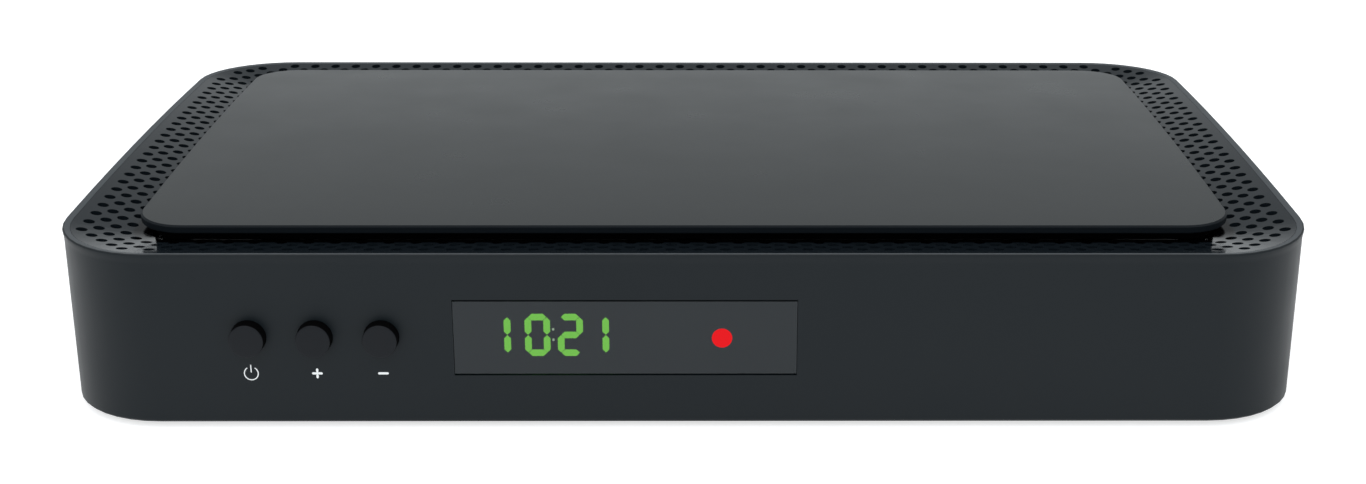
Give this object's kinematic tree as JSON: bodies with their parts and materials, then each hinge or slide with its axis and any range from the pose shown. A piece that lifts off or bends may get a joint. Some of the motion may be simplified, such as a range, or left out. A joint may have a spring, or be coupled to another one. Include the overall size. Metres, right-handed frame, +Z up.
{
  "type": "satellite television receiver",
  "caption": "Flat set-top receiver with rounded corners, a floating top plate over a dished vent band, push buttons, a display window and rear sockets.",
  "frame": {"origin": "on the table, under the middle of the whole outline (front buttons and rear connectors included)", "axes": "+X to the right seen from the front, +Y from the front to the back, +Z up"},
  "size_m": [0.2208, 0.147, 0.0343],
  "materials": {
    "casing_plastic": "fine moulded texture, dark grey",
    "plate_plastic": "satin moulded, grey",
    "window_plastic": "smoked, satin",
    "lit_green": "lit green",
    "lamp_red": "lit red",
    "rubber": "matt black",
    "screw_steel": "zinc plated",
    "plated_metal": "nickel plated",
    "insulator_white": "moulded white",
    "black_plastic": "moulded black",
    "board_laminate": "green solder mask",
    "ribbon_film": "polyester film",
    "thermal_silicone": "soft pad",
    "sink_aluminium": "extruded",
    "capacitor_sleeve": "shrunk sleeve"
  },
  "bodies": {
    "receiver": {"outer_shell": "casing_plastic", "vent_panel": "casing_plastic", "top_plate": "plate_plastic", "bottom_tray": "casing_plastic", "rear_panel": "casing_plastic", "feet": "rubber", "case_screws": "screw_steel", "panel_screws": "screw_steel", "display_window": "window_plastic", "display_module": "black_plastic", "display_segments": "lit_green", "standby_lamp": "lamp_red", "infrared_receiver": "black_plastic", "button_switches": "black_plastic", "front_board": "board_laminate", "front_board_screws": "screw_steel", "ribbon_cable": "ribbon_film", "ribbon_sockets": "insulator_white", "main_board": "board_laminate", "board_screws": "screw_steel", "tuner_can": "plated_metal", "lnb_connector": "plated_metal", "loop_connector": "plated_metal", "connector_cores": "insulator_white", "connector_washers": "plated_metal", "connector_nuts": "plated_metal", "optical_socket": "black_plastic", "av_jack": "black_plastic", "hdmi_socket": "plated_metal", "usb_socket": "plated_metal", "network_socket": "black_plastic", "power_jack": "black_plastic", "main_chip": "black_plastic", "thermal_pad": "thermal_silicone", "heat_sink": "sink_aluminium", "memory_chips": "black_plastic", "capacitors": "capacitor_sleeve", "inductors": "black_plastic", "crystal": "plated_metal"},
    "power_button": {"power_button": "casing_plastic", "power_plunger": "insulator_white"},
    "channel_up_button": {"channel_up_button": "casing_plastic", "channel_up_plunger": "insulator_white"},
    "channel_down_button": {"channel_down_button": "casing_plastic", "channel_down_plunger": "insulator_white"}
  },
  "joints": [
    {"name": "power_button_press", "type": "slide", "parent": "receiver", "child": "power_button", "axis": [0, 1, 0], "range_m": [0, 0.0005], "stiffness_N_per_m": 900, "springref_m": -0.0006},
    {"name": "channel_up_button_press", "type": "slide", "parent": "receiver", "child": "channel_up_button", "axis": [0, 1, 0], "range_m": [0, 0.0005], "stiffness_N_per_m": 900, "springref_m": -0.0006},
    {"name": "channel_down_button_press", "type": "slide", "parent": "receiver", "child": "channel_down_button", "axis": [0, 1, 0], "range_m": [0, 0.0005], "stiffness_N_per_m": 900, "springref_m": -0.0006}
  ]
}
